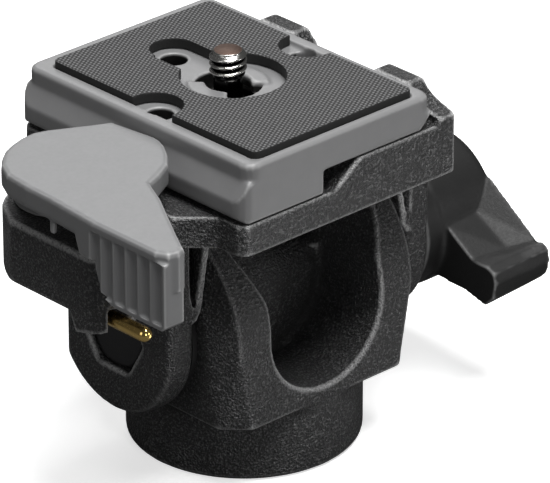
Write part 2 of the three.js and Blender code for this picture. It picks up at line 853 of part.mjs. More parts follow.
function makePlatform() {
  const counterbore = plunger.flangeRadius + touchGap;
  const flangeStop = plungerBottom + plunger.flangeHeight + plunger.travel + touchGap;
  const drumTop = housingTop + housing.drop + overrun;
  return makeSeatPlate()
    .subtract(drumZ(
      pivotX,
      lever.pivotY,
      lever.hubRadius + lever.hubClearance,
      seatBottom - overrun,
      drumTop,
      40,
    ))
    .add(makeJaw())
    .add(makeHousing())
    .add(makeEar(-1))
    .add(makeEar(1))
    .subtract(drumX(boltBore, -earOuter - overrun, earOuter + overrun, 24))
    .subtract(alongX(
      hexagonPoints(0, tiltAxisHeight, bolt.headAcross + 2 * ear.recessSlack),
      -earOuter - overrun,
      touchGap - boltHeadInner,
    ))
    .subtract(drumZ(pivotX, lever.pivotY, housing.cavityRadius, housingBottom - overrun, cavityTop))
    .subtract(drumZ(
      pivotX,
      lever.pivotY,
      lever.journalRadius + touchGap,
      cavityTop - overrun,
      drumTop,
      24,
    ))
    .subtract(makePinSlot())
    .subtract(makePinAxleBore())
    .subtract(drumZ(plungerX, plunger.y, counterbore, seatBottom - overrun, flangeStop, 24))
    .subtract(drumZ(
      plungerX,
      plunger.y,
      plunger.radius + touchGap,
      flangeStop - overrun,
      seatTop + overrun,
      24,
    ));
}

addPiece('platform_body', makePlatform(), 'castBlack');

// Tilt bolt: its hexagonal head sits in the left ear, and its thread ends inside the knob
function makeTiltBolt() {
  const faceRadius = bolt.headAcross / 2;
  const cornerRadius = faceRadius + 2 * bolt.headChamfer;
  const hexagon = hexagonPoints(0, tiltAxisHeight, bolt.headAcross);
  const headSolid = alongX(hexagon, -boltHeadOuter, -boltHeadInner)
    .intersect(turnedX([
      [0, -boltHeadOuter],
      [faceRadius, -boltHeadOuter],
      [cornerRadius, bolt.headChamfer - boltHeadOuter],
      [cornerRadius, -boltHeadInner],
      [0, -boltHeadInner],
    ]));
  const shank = drumX(bolt.radius, bolt.headChamfer - boltHeadOuter, knobInner + insert.length, 24);
  return headSolid.add(shank);
}

addPiece('tilt_bolt', makeTiltBolt(), 'darkSteel');

// Knob: a round hub with a collar toward the ear, and one wing drawn in shares of its reach and height
function wingSection(x, shares) {
  return shares.map(([reachShare, heightShare]) => [
    x,
    wing.reach * reachShare,
    tiltAxisHeight + wing.height * heightShare,
  ]);
}

function makeKnob() {
  const collar = knob.hubRadius - knob.collarIn;
  const hub = turnedX([
    [0, knobInner],
    [collar - touchGap, knobInner],
    [collar, knobInner + touchGap],
    [collar, knobInner + knob.collarLength],
    [knob.hubRadius, knobInner + knob.collarLength + knob.collarIn],
    [knob.hubRadius, knobOuter - knob.hubRound],
    [knob.hubRadius - knob.hubRound / 4, knobOuter - knob.hubRound / 3],
    [knob.hubRadius - knob.hubRound, knobOuter],
    [0, knobOuter],
  ], 72);
  const nearShares = [
    [-0.228, 0.256],
    [-0.479, 0.134],
    [-0.726, -0.122],
    [-0.86, -0.13],
    [-0.925, -0.18],
    [-0.943, -0.29],
    [-0.924, -0.476],
    [-0.848, -0.591],
    [-0.681, -0.524],
    [-0.494, -0.506],
    [-0.335, -0.494],
  ];
  const middleShares = [
    [-0.228, 0.317],
    [-0.479, 0.159],
    [-0.783, -0.104],
    [-0.885, -0.09],
    [-0.95, -0.14],
    [-0.973, -0.256],
    [-0.951, -0.427],
    [-0.882, -0.524],
    [-0.681, -0.494],
    [-0.494, -0.488],
    [-0.335, -0.488],
  ];
  const farShares = [
    [-0.228, 0.549],
    [-0.449, 0.421],
    [-0.875, -0.061],
    [-0.935, -0.04],
    [-0.98, -0.09],
    [-0.996, -0.22],
    [-0.977, -0.366],
    [-0.924, -0.451],
    [-0.681, -0.463],
    [-0.494, -0.47],
    [-0.335, -0.482],
  ];
  const blade = gridSolid([
    wingSection(wingInner, nearShares),
    wingSection(wingInner + wing.width * wingMiddleShare, middleShares),
    wingSection(wingInner + wing.width, farShares),
  ], nearShares, farShares);
  const hexSocket = alongX(
    hexagonPoints(0, tiltAxisHeight, insert.across + 2 * touchGap),
    knobInner - overrun,
    knobInner + insert.length + touchGap,
  );
  const boltEnd = drumX(boltBore, knobInner, knobInner + knob.boreDepth, 24);
  return hub.add(blade).subtract(hexSocket).subtract(boltEnd);
}

function makeInsert() {
  return alongX(hexagonPoints(0, tiltAxisHeight, insert.across), knobInner, knobInner + insert.length)
    .subtract(drumX(boltBore, knobInner - overrun, knobInner + insert.length + overrun, 24));
}

addPiece('knob_thrust_washer', turnedX(ringProfile(
  boltBore,
  thrustWasher.radius,
  thrustInner,
  thrustInner + thrustWasher.thickness,
)), 'steel');
addPiece('wing_knob', makeKnob(), 'satinBlack');
addPiece('knob_nut_insert', makeInsert(), 'steel');

// Quick-release lever: its outline in shares of the lever's length, measured from the pivot
function leverOutline() {
  const backShares = [
    [-0.362, -0.59],
    [-0.341, -0.314],
    [-0.324, -0.045],
    [-0.233, 0.088],
    [-0.136, 0.148],
    [0, 0.176],
    [0.112, 0.129],
    [0.214, 0.074],
    [0.295, 0.036],
  ];
  const noseShares = [[0.326, -0.19], [0.302, -0.267], [0.198, -0.402], [0.033, -0.481]];
  const innerShares = [[-0.026, -0.605], [-0.19, -0.876], [-0.252, -0.986]];
  const endShares = [[-0.292, -1], [-0.338, -0.99], [-0.362, -0.94]];
  const place = ([alongShare, acrossShare]) => [
    pivotX + lever.length * alongShare,
    lever.pivotY + lever.length * acrossShare,
  ];
  return [
    ...splinePoints(backShares.map(place), 2),
    ...splinePoints(noseShares.map(place), 2),
    ...splinePoints(innerShares.map(place), 2),
    ...endShares.map(place),
  ].reverse();
}

// The grip hangs below the lever's end: its lower front corner is a wide curve.
// A shoulder at its far end closes the last flute.
function makeGrip() {
  const curve = arcPoints(0, 0, 1, 0, -Math.PI / 2, Math.PI / 12).map(([runShare, dropShare]) => [
    -grip.front - grip.corner * (1 - runShare),
    leverThickBottom + (leverThickBottom - gripBottom) * dropShare,
  ]);
  const outline = [
    [-grip.front, leverThickBottom + overrun],
    ...curve,
    [gripEnd + lever.edgeRound, gripBottom],
    [gripEnd, gripBottom + lever.edgeRound],
    [gripEnd, leverTop - grip.shoulderDrop],
    [gripEnd + grip.shoulder, leverTop - grip.shoulderDrop],
    [gripEnd + grip.shoulder, leverThickBottom + overrun],
  ];
  return alongX(outline, -gripOuter, grip.thickness - gripOuter);
}

function makeLever() {
  const edge = plateLeft - lever.plateGap;
  const farY = lever.pivotY + lever.length;
  const nearY = lever.pivotY - lever.length;
  const besidePlate = box(
    edge,
    nearY,
    leverBottom - overrun,
    edge + lever.length,
    farY,
    leverTop + overrun,
  );
  const slopeEdge = slopeLeft - lever.slopeGap - touchGap;
  const slope = alongY([
    [edge - touchGap, slopeTop],
    [slopeEdge, slopeBottom - touchGap],
    [slopeEdge, leverBottom - overrun],
    [edge + lever.length, leverBottom - overrun],
    [edge + lever.length, slopeTop],
  ], nearY, farY);
  const arm = alongZ(leverOutline(), leverBottom, leverTop, lever.edgeRound);
  const thickEnd = alongZ(leverOutline(), leverThickBottom, leverTop - lever.edgeRound).intersect(alongX([
    [nearY - overrun, leverThickBottom - overrun],
    [-lever.thickStart - lever.thickRun, leverThickBottom - overrun],
    [-lever.thickStart, leverBottom],
    [-lever.thickStart, leverTop],
    [nearY - overrun, leverTop],
  ], -gripOuter - overrun, 0));
  const lugX = pivotX - lever.length * leverLugOutShare;
  const lugY = lever.pivotY - lever.length * leverLugFrontShare;
  const lug = box(
    lugX,
    lugY - leverLug.width / 2,
    leverBottom - leverLug.drop,
    lugX + leverLug.depth,
    lugY + leverLug.width / 2,
    leverBottom + overrun,
  );
  let body = arm.add(thickEnd).add(lug).subtract(besidePlate).subtract(slope).add(makeGrip());
  for (let place = 0; place < fluteCount; place += 1) {
    body = body.subtract(drumZ(
      flute.depth - gripOuter - flute.radius,
      flute.firstY - flute.pitch * place,
      flute.radius,
      gripBottom + flute.bottomRise,
      leverTop - flute.topDrop,
      16,
    ));
  }
  const hubBottom = housingTop + touchGap;
  const hub = drumZ(pivotX, lever.pivotY, lever.hubRadius, hubBottom, leverBottom + overrun, 40);
  const journal = drumZ(
    pivotX,
    lever.pivotY,
    lever.journalRadius,
    journalBottom,
    hubBottom + overrun,
    24,
  );
  const screwBore = drumZ(
    pivotX,
    lever.pivotY,
    leverScrew.radius + touchGap,
    journalBottom - overrun,
    journalBottom + leverScrew.depth + touchGap,
    20,
  );
  return body.add(hub).add(journal).subtract(screwBore);
}

function makeLeverScrew() {
  const headTop = washerTop - leverWasher.thickness - touchGap;
  const headBottom = headTop - leverScrew.headHeight;
  const slot = box(
    pivotX - leverScrew.headRadius - overrun,
    lever.pivotY - leverScrew.slotWidth / 2,
    headBottom - overrun,
    pivotX + leverScrew.headRadius + overrun,
    lever.pivotY + leverScrew.slotWidth / 2,
    headBottom + leverScrew.slotDepth,
  );
  return turnedZ([
    [0, headBottom],
    [leverScrew.headRadius, headBottom],
    [leverScrew.headRadius, headTop],
    [leverScrew.radius, headTop],
    [leverScrew.radius, journalBottom + leverScrew.depth],
    [0, journalBottom + leverScrew.depth],
  ], pivotX, lever.pivotY, 24).subtract(slot);
}

addPiece('qr_lever', makeLever(), 'leverGrey');
addPiece('lever_pivot_screw', makeLeverScrew(), 'steel');
addPiece('lever_washer', turnedZ(ringProfile(
  leverScrew.radius + touchGap,
  leverWasher.radius,
  washerTop - leverWasher.thickness,
  washerTop,
), pivotX, lever.pivotY, 28), 'steel');
addPiece('lever_torsion_spring', coilZ(
  pivotX,
  lever.pivotY,
  torsionSpring,
  journalBottom + touchGap,
), 'steel');

// Safety pin with a domed tip, turning on a thin axle
function makeSafetyPin() {
  const dome = safetyPin.radius / 2;
  const front = housing.front + safetyPin.reach;
  const profile = [
    [0, -front],
    [safetyPin.radius - dome, -front],
    [safetyPin.radius, dome - front],
    [safetyPin.radius, pinBack],
    [0, pinBack],
  ];
  const pin = solidOf(turned(profile, 20).translate(pinX, 0, pinZ));
  return pin.subtract(makePinAxleBore());
}

addPiece('safety_pin', makeSafetyPin(), 'brass');
addPiece('safety_pin_axle', pinAxleDrum(
  pinAxle.radius,
  pinAxle.cover + touchGap - housingOuter,
  pinBoss.width - touchGap - housingOuter,
), 'steel');
addPiece('safety_pin_spring', coilZ(pinX, pinSpringY, pinSpring, pinSpringBottom), 'steel');

// Trigger plunger: a cup over its spring, closed below by a clip
function makePlunger() {
  const flangeTop = plungerBottom + plunger.flangeHeight;
  const inner = plunger.radius - plunger.wall;
  return turnedZ([
    [0, plungerTop - plunger.cap],
    [inner, plungerTop - plunger.cap],
    [inner, plungerBottom],
    [plunger.flangeRadius, plungerBottom],
    [plunger.flangeRadius, flangeTop],
    [plunger.radius, flangeTop],
    [plunger.radius, plungerTop],
    [0, plungerTop],
  ], plungerX, plunger.y, 24);
}

addPiece('trigger_plunger', makePlunger(), 'brass');
addPiece('trigger_spring', coilZ(
  plungerX,
  plunger.y,
  triggerSpring,
  seatBottom + triggerClip.thickness + touchGap / 3,
), 'steel');
addPiece('trigger_retaining_clip', drumZ(
  plungerX,
  plunger.y,
  plunger.flangeRadius + touchGap / 2,
  seatBottom,
  seatBottom + triggerClip.thickness,
  24,
), 'steel');

// Camera plate
function makePlate() {
  const footSection = [
    [slopeLeft + plate.footChamferRun, plateBottom],
    [slopeRight - plate.footChamferRun, plateBottom],
    [slopeRight, plateBottom + plate.footChamfer],
    [slopeRight, slopeBottom],
    [plateRight, slopeTop],
    [plateLeft, slopeTop],
    [slopeLeft, slopeBottom],
    [slopeLeft, plateBottom + plate.footChamfer],
  ];
  const footCorners = roundedRectanglePoints(
    slopeLeft,
    -plateHalfLength,
    slopeRight,
    plateHalfLength,
    plate.cornerRound,
  );
  const rimOutline = (inset) => roundedRectanglePoints(
    plateLeft + inset,
    inset - plateHalfLength,
    plateRight - inset,
    plateHalfLength - inset,
    plate.rimCorner,
  );
  const rim = alongZ(rimOutline(0), flangeBottom, plateTop - plate.edgeChamfer)
    .add(loftZ(rimOutline(0), rimOutline(plate.edgeChamfer), plateTop - plate.edgeChamfer, plateTop));
  const blockEnd = endBlock.length - plateHalfLength + touchGap;
  const footCut = box(
    plate.footEnd,
    -plateHalfLength - overrun,
    plateBottom - overrun,
    slopeRight + overrun,
    blockEnd,
    flangeBottom,
  ).add(box(
    plateRight,
    -plateHalfLength - overrun,
    plateBottom,
    slopeRight + overrun,
    blockEnd,
    slopeTop + overrun,
  )).add(alongY([
    [plateRight - plate.flangeCorner, flangeBottom - touchGap],
    [plateRight + overrun, flangeBottom - touchGap],
    [plateRight + overrun, flangeBottom + plate.flangeCorner + overrun],
    [plateRight - plate.flangeCorner, flangeBottom],
  ], -plateHalfLength - overrun, blockEnd));
  const hollow = box(
    plateLeft + plate.wall,
    blockEnd + plate.endWall - touchGap,
    plateBottom - overrun,
    plateRight - plate.wall,
    plateHalfLength - plate.endWall,
    floorUnder,
  ).subtract(drumZ(
    plate.centreX,
    0,
    screwBoss.innerRadius + screwBoss.wall,
    plateBottom + touchGap,
    plateTop,
    36,
  ));
  const padBed = alongZ(roundedRectanglePoints(
    plateLeft + pad.sideInset,
    pad.frontInset - plateHalfLength,
    plateRight - pad.sideInset,
    plateHalfLength - pad.backInset,
    pad.corner,
  ), padFloor, plateTop + overrun);
  const tabTop = padFloor + screwHole.tabRise;
  const tab = (startAngle) => alongZ([
    ...arcPoints(plate.centreX, 0, screwHole.radius + overrun, startAngle, startAngle + Math.PI / 2),
    ...arcPoints(plate.centreX, 0, screwHole.tabInner, startAngle + Math.PI / 2, startAngle),
  ], tabTop - screwHole.tabThickness, tabTop);
  let body = alongY(footSection, -plateHalfLength, plateHalfLength)
    .intersect(alongZ(footCorners, plateBottom - overrun, plateTop))
    .add(rim)
    .subtract(footCut)
    .subtract(hollow)
    .subtract(padBed)
    .subtract(drumZ(plate.centreX, 0, screwBoss.innerRadius, plateBottom - overrun, floorUnder, 36))
    .subtract(drumZ(plate.centreX, 0, screwHole.radius, floorUnder - overrun, plateTop, 28))
    .add(tab(tabStartAngle))
    .add(tab(tabStartAngle + Math.PI));
  const holes = [
    [plate.centreX, padWindow.lobeY],
    [plateLeft + plateHole.inset, padNotch.y],
    [plateRight - plateHole.inset, padNotch.y],
  ];
  for (const [x, y] of holes) {
    body = body.subtract(drumZ(x, y, plateHole.radius, floorUnder - overrun, plateTop, 20));
  }
  return body;
}

function makePad() {
  const inset = pad.sideInset + pad.edgeGap;
  const from = padFloor + pad.seatGap;
  const lowCut = from - overrun;
  const highCut = padTop + overrun;
  const outline = roundedRectanglePoints(
    plateLeft + inset,
    pad.frontInset + pad.edgeGap - plateHalfLength,
    plateRight - inset,
    plateHalfLength - pad.backInset - pad.edgeGap,
    pad.corner - pad.edgeGap,
  );
  let solid = alongZ(outline, from, padTop)
    .subtract(drumZ(plate.centreX, padWindow.y, padWindowRadius, lowCut, highCut, 40))
    .subtract(drumZ(plate.centreX, padWindow.lobeY, padWindow.lobeRadius, lowCut, highCut, 28))
    .subtract(box(
      plate.centreX - padWindow.neckLeft,
      padWindow.y,
      lowCut,
      plate.centreX + padWindow.neckRight,
      padWindow.lobeY,
      highCut,
    ));
  for (const x of [plateLeft + padNotch.inset, plateRight - padNotch.inset]) {
    solid = solid.subtract(drumZ(x, padNotch.y, padNotchRadius, lowCut, highCut, 28));
  }
  return solid;
}

addPiece('plate_body', makePlate(), 'plateGrey');
addPiece('plate_rubber_pad', makePad(), 'rubber');

// Camera screw with a coin slot, and the open ring that keeps it in the plate
function makeCameraScrew() {
  const headBottom = screwHeadTop - cameraScrew.headHeight;
  const threadBottom = screwHeadTop + cameraScrew.neckLength;
  const bodySolid = turnedZ([
    [0, headBottom],
    [cameraScrew.headRadius, headBottom],
    [cameraScrew.headRadius, screwHeadTop],
    [cameraScrew.neckRadius, screwHeadTop],
    [cameraScrew.neckRadius, threadBottom + cameraScrew.pitch],
    [0, threadBottom + cameraScrew.pitch],
  ], plate.centreX, 0, 32);
  const envelope = turnedZ([
    [0, threadBottom - overrun],
    [cameraScrew.majorRadius + overrun, threadBottom - overrun],
    [cameraScrew.majorRadius + overrun, screwTop - cameraScrew.tipChamfer - overrun],
    [cameraScrew.majorRadius - cameraScrew.tipChamfer, screwTop],
    [0, screwTop],
  ], plate.centreX, 0, 24);
  const thread = threadZ(
    plate.centreX,
    0,
    cameraScrew.majorRadius,
    cameraScrew.threadDepth,
    cameraScrew.pitch,
    threadBottom,
    screwTop,
  ).intersect(envelope);
  const slot = box(
    plate.centreX - cameraScrew.headRadius - overrun,
    -cameraScrew.slotWidth / 2,
    headBottom - overrun,
    plate.centreX + cameraScrew.headRadius + overrun,
    cameraScrew.slotWidth / 2,
    headBottom + cameraScrew.slotDepth,
  );
  return bodySolid.add(thread).subtract(slot);
}

function makeRetainingRing() {
  const outer = screwBoss.innerRadius - touchGap;
  const half = retainingRing.gapAngle / 2;
  const from = screwHeadTop - cameraScrew.headHeight - touchGap - retainingRing.thickness;
  return alongZ([
    ...arcPoints(plate.centreX, 0, outer, half, 2 * Math.PI - half),
    ...arcPoints(plate.centreX, 0, retainingRing.innerRadius, 2 * Math.PI - half, half),
  ], from, from + retainingRing.thickness);
}

addPiece('camera_screw', makeCameraScrew(), 'steel');
addPiece('screw_retaining_ring', makeRetainingRing(), 'steel');

export default head;
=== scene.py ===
# %% [markdown]
# A monopod tilt head with a quick-release camera plate.
# The head is mostly two black castings with a grainy powder coat, a grey lever, a grey plate with a dimpled
# rubber pad, and a few bright pieces: a camera screw and a brass safety pin.
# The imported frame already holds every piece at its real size, so this lesson is about surfaces.

# %% Load the frame
import json
import math

import bmesh
import bpy
import numpy as np
from mathutils import Matrix, Vector


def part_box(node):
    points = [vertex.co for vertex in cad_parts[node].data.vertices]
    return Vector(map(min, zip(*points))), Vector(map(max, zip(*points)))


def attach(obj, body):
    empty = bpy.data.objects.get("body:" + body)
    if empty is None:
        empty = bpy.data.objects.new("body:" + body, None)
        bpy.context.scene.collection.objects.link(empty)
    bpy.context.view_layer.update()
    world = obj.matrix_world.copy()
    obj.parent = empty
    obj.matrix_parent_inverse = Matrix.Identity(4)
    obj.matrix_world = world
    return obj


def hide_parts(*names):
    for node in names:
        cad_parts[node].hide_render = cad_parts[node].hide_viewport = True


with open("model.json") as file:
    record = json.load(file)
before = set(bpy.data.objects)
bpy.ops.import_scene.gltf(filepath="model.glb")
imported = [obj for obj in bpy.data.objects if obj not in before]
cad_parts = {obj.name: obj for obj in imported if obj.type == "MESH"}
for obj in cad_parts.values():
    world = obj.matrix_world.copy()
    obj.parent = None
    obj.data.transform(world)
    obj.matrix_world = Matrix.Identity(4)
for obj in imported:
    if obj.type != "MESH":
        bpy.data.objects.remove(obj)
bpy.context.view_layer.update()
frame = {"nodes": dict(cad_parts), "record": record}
MM = 0.001
node_body = {node: body for body, nodes in frame["record"]["behaviour"]["bodies"].items() for node in nodes}

# %% [markdown]
# The camera stands where the photographer stood: far off with a long lens, to the left of the head and above
# it. A camera can be placed by eye, or by its angles. Angles are chosen, because each number then changes one
# thing in the picture: the side it shows, its height, its size or its place.

# %% Camera
PICTURE_WIDTH = 550
SENSOR_WIDTH = 36.0
CLIP_START = 50 * MM
azimuth = math.radians(-43.30)
elevation = math.radians(26.46)
distance = 986 * MM
focal_pixels = 5825
aim_side = 5.30 * MM
aim_up = -8.66 * MM
aim_height = 45 * MM

back = Vector((
    math.sin(azimuth) * math.cos(elevation),
    -math.cos(azimuth) * math.cos(elevation),
    math.sin(elevation),
))
right = Vector((math.cos(azimuth), math.sin(azimuth), 0))
up = back.cross(right)
aim = right * aim_side + up * aim_up + Vector((0, 0, aim_height))
camera_data = bpy.data.cameras.new("camera")
camera_data.sensor_fit = "HORIZONTAL"
camera_data.sensor_width = SENSOR_WIDTH
camera_data.lens = focal_pixels / PICTURE_WIDTH * SENSOR_WIDTH
camera_data.clip_start = CLIP_START
camera = bpy.data.objects.new("camera", camera_data)
turn = Matrix((right, up, back)).transposed()
camera.matrix_world = Matrix.Translation(aim + back * distance) @ turn.to_4x4()
bpy.context.scene.collection.objects.link(camera)
bpy.context.scene.camera = camera
print("lens", round(camera_data.lens, 1), "mm")

# %% [markdown]
# A procedural material is a small graph of nodes. A few helpers keep the graphs short: one adds a node and
# wires its inputs, one starts a material with a Principled shader, one adds grain as a bump, and one lets the
# gloss follow the grain.
# The grain reads Object coordinates, so it is the same size on every piece.

# %% Material helpers


def add_node(tree, kind, inputs=None, **settings):
    node = tree.nodes.new(kind)
    for name, value in settings.items():
        setattr(node, name, value)
    for name, value in (inputs or {}).items():
        if isinstance(value, bpy.types.NodeSocket):
            tree.links.new(value, node.inputs[name])
        else:
            node.inputs[name].default_value = value
    return node


def start_material(name, color, roughness, metallic=0.0, specular=0.5):
    material = bpy.data.materials.new(name)
    material.use_nodes = True
    tree = material.node_tree
    shader = tree.nodes["Principled BSDF"]
    shader.inputs["Base Color"].default_value = (*color, 1)
    shader.inputs["Roughness"].default_value = roughness
    shader.inputs["Metallic"].default_value = metallic
    shader.inputs["Specular IOR Level"].default_value = specular
    return material, tree, shader


def object_places(tree):
    return add_node(tree, "ShaderNodeTexCoord").outputs["Object"]


def noise_at(tree, size, detail=2.0, roughness=0.6):
    return add_node(tree, "ShaderNodeTexNoise", {
        "Vector": object_places(tree),
        "Scale": 1 / size,
        "Detail": detail,
        "Roughness": roughness,
    }).outputs["Fac"]


def grain(tree, shader, grain_size, height, detail):
    noise = noise_at(tree, grain_size, detail, 0.55)
    bump = add_node(tree, "ShaderNodeBump", {"Height": noise, "Distance": height, "Strength": 1.0})
    tree.links.new(bump.outputs["Normal"], shader.inputs["Normal"])
    return noise


def vary_roughness(tree, shader, noise, low, high):
    spread = add_node(tree, "ShaderNodeMapRange", {
        "Value": noise,
        "From Min": 0.3,
        "From Max": 0.7,
        "To Min": low,
        "To Max": high,
    })
    tree.links.new(spread.outputs["Result"], shader.inputs["Roughness"])


print("helpers ready")

# %% [markdown]
# The castings are powder coated. The coat melts into a fine orange peel of pebbles about half a millimetre
# wide, and each pebble catches the light as a small sparkle. A displaced mesh would need millions of faces,
# so the pebbles are a bump: a coarse noise for the pebbles and a finer one for the tooth on them.
# Outer edges are given a pale colour, a painted highlight, and the tops of the pebbles paler flecks, a
# painted sparkle; inner corners are given a darker colour. The Geometry node's Pointiness could find the
# edges, but its strength changes with the size of the faces. So each rounded piece carries its own attribute,
# bend: one over the radius of the surface in millimetres, positive on outer edges and negative in inner
# corners.

# %% Powder coat on the castings


def bend_span(tree, start, end):
    bend = add_node(tree, "ShaderNodeAttribute", attribute_name="bend")
    return span(tree, bend.outputs["Fac"], start, end)


def times(tree, first, second):
    return add_node(tree, "ShaderNodeMath", {0: first, 1: second}, operation="MULTIPLY").outputs[0]


def span(tree, value, low, high):
    return add_node(tree, "ShaderNodeMapRange", {
        "Value": value,
        "From Min": low,
        "From Max": high,
    }).outputs["Result"]


def blend_color(tree, factor, low, high):
    mix = add_node(tree, "ShaderNodeMix", data_type="RGBA")
    for slot, value in ((0, factor), (6, low), (7, high)):
        if isinstance(value, bpy.types.NodeSocket):
            tree.links.new(value, mix.inputs[slot])
        else:
            mix.inputs[slot].default_value = (*value, 1)
    return mix.outputs[2]


def make_powder_coat():
    pebble_size, pebble_height = 0.42 * MM, 0.8 * MM
    tooth_size, tooth_height = 0.18 * MM, 0.12 * MM
    patch_size = 6 * MM
    shade, black, dark_tone = (0.006, 0.006, 0.0062), (0.012, 0.012, 0.0125), (0.004, 0.004, 0.004)
    painted_sparkle, painted_highlight = (0.12, 0.12, 0.121), (0.4, 0.4, 0.4)
    material, tree, shader = start_material("powder_coat_black", black, 0.34, specular=0.8)
    pebbles = noise_at(tree, pebble_size)
    tooth = noise_at(tree, tooth_size, 1.0)
    tooth_bump = add_node(tree, "ShaderNodeBump", {"Height": tooth, "Distance": tooth_height})
    bump = add_node(tree, "ShaderNodeBump", {
        "Height": pebbles,
        "Distance": pebble_height,
        "Normal": tooth_bump.outputs["Normal"],
    })
    tree.links.new(bump.outputs["Normal"], shader.inputs["Normal"])
    base = blend_color(tree, noise_at(tree, patch_size), shade, black)
    # Paler flecks on the pebble tops are a painted sparkle.
    sparkled = blend_color(tree, span(tree, pebbles, 0.53, 0.66), base, painted_sparkle)
    # Inner corners are given a darker colour.
    corner = blend_color(tree, bend_span(tree, -0.5, -0.1), dark_tone, sparkled)
    # Outer edges are given a pale colour, a painted highlight.
    lit_edges = times(tree, bend_span(tree, 0.4, 1.1), span(tree, pebbles, 0.2, 0.5))
    color = blend_color(tree, lit_edges, corner, painted_highlight)
    tree.links.new(color, shader.inputs["Base Color"])
    vary_roughness(tree, shader, pebbles, 0.5, 0.28)
    return material


powder_coat = make_powder_coat()
print(powder_coat.name)

# %% [markdown]
# The lever and the camera plate are painted castings too, but their paint is smooth. It shows only a faint
# peel, a little change of gloss from place to place, and paler outer edges, a painted highlight.

# %% Grey paints and the knob's finish


def make_paint(name, low, high, edge, roughness, peel, grain_size=0.9 * MM, specular=0.4):
    material, tree, shader = start_material(name, high, roughness, specular=specular)
    noise = grain(tree, shader, grain_size, peel, 3.0)
    base = blend_color(tree, noise_at(tree, 4 * MM), low, high)
    # Outer edges take the edge colour, a painted highlight.
    color = blend_color(tree, bend_span(tree, 0.5, 1.6), base, edge)
    tree.links.new(color, shader.inputs["Base Color"])
    vary_roughness(tree, shader, noise, roughness - 0.04, roughness + 0.05)
    return material


# Inside the deep holes of the plate, below the pad, the paint is turned near black: painted shade.
def paint_hole_shade(material, node_name, inset, below, above):
    fade_below, fade_above = 0.4 * MM, 0.2 * MM
    dark_tone = (0.006, 0.006, 0.006)
    tree = material.node_tree
    shader = tree.nodes["Principled BSDF"]
    painted = shader.inputs["Base Color"].links[0].from_socket
    low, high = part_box(node_name)
    place = add_node(tree, "ShaderNodeSeparateXYZ", {"Vector": object_places(tree)})
    inside = None
    for axis, name in enumerate("XY"):
        middle = (low[axis] + high[axis]) / 2
        reach = (high[axis] - low[axis]) / 2 - inset
        near = add_node(tree, "ShaderNodeMath", {
            0: place.outputs[name],
            1: middle,
            2: reach,
        }, operation="COMPARE").outputs[0]
        inside = near if inside is None else times(tree, inside, near)
    sunk = span(tree, place.outputs["Z"], below, below - fade_below)
    clear = span(tree, place.outputs["Z"], above, above + fade_above)
    dark = times(tree, times(tree, inside, sunk), clear)
    tree.links.new(blend_color(tree, dark, painted, dark_tone), shader.inputs["Base Color"])


plate_paint = make_paint(
    "plate_grey_paint", (0.156, 0.156, 0.158), (0.178, 0.178, 0.18), (0.3, 0.3, 0.3), 0.4, 0.012 * MM,
)
HOLE_INSET = 1 * MM
HOLE_MARGIN = 0.3 * MM
pad_low, pad_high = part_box("plate_rubber_pad")
plate_low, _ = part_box("plate_body")
paint_hole_shade(
    plate_paint, "plate_rubber_pad", HOLE_INSET, pad_low[2] - HOLE_MARGIN, plate_low[2] + HOLE_MARGIN,
)
lever_paint = make_paint(
    "lever_grey_paint", (0.152, 0.153, 0.155), (0.168, 0.169, 0.171), (0.3, 0.3, 0.3), 0.42, 0.012 * MM,
)
knob_finish = make_paint(
    "knob_satin_black", (0.011, 0.011, 0.011), (0.016, 0.016, 0.016), (0.14, 0.14, 0.14), 0.46, 0.03 * MM,
    grain_size=0.5 * MM, specular=0.2,
)
black_nylon = make_paint(
    "black_nylon", (0.012, 0.012, 0.012), (0.018, 0.018, 0.018), (0.05, 0.05, 0.05), 0.5, 0.01 * MM,
)
print(plate_paint.name, lever_paint.name, knob_finish.name, black_nylon.name)

# %% [markdown]
# The rubber pad has a relief of small domes on its top, 0.78 mm apart, in rows set half a step aside. Three
# waves at 60 degrees to each other, added up, are high exactly at such places. The waves read Object
# coordinates, and a step in height keeps the relief off the moulded sides, which are plain. The hollows
# between the domes are painted near black, as painted shade, and the sides are painted near black too, as
# painted shade.

# %% Dimpled rubber


def make_pad_rubber(top_height):
    material, tree, shader = start_material("pad_rubber", (0.05, 0.05, 0.051), 0.6, specular=0.35)
    place = add_node(tree, "ShaderNodeSeparateXYZ", {"Vector": object_places(tree)})
    waves_along_x, waves_along_y = 0.745, 1.28
    relief = 0.16 * MM
    x_rate = 2 * math.pi * waves_along_x / MM
    y_rate = 2 * math.pi * waves_along_y / MM

    def wave(x_times, y_times):
        x_part = times(tree, place.outputs["X"], x_times)
        y_part = times(tree, place.outputs["Y"], y_times)
        phase = add_node(tree, "ShaderNodeMath", {0: x_part, 1: y_part})
        return add_node(tree, "ShaderNodeMath", {0: phase.outputs[0]}, operation="COSINE").outputs[0]

    pair = add_node(tree, "ShaderNodeMath", {0: wave(x_rate, y_rate), 1: wave(x_rate, -y_rate)})
    total = add_node(tree, "ShaderNodeMath", {0: pair.outputs[0], 1: wave(2 * x_rate, 0.0)})
    domes = span(tree, total.outputs[0], -1.2, 1.6)
    on_top = span(tree, place.outputs["Z"], top_height - 0.12 * MM, top_height - 0.03 * MM)
    height = times(tree, domes, on_top)
    top_grey = blend_color(tree, noise_at(tree, 3 * MM), (0.11, 0.11, 0.112), (0.14, 0.14, 0.142))
    # The hollows between the domes are painted near black, as painted shade.
    top = blend_color(tree, domes, (0.006, 0.006, 0.006), top_grey)
    # The sides are painted near black, darker than the top, as painted shade.
    color = blend_color(tree, on_top, (0.012, 0.012, 0.012), top)
    tree.links.new(color, shader.inputs["Base Color"])
    bump = add_node(tree, "ShaderNodeBump", {"Height": height, "Distance": relief})
    tree.links.new(bump.outputs["Normal"], shader.inputs["Normal"])
    return material


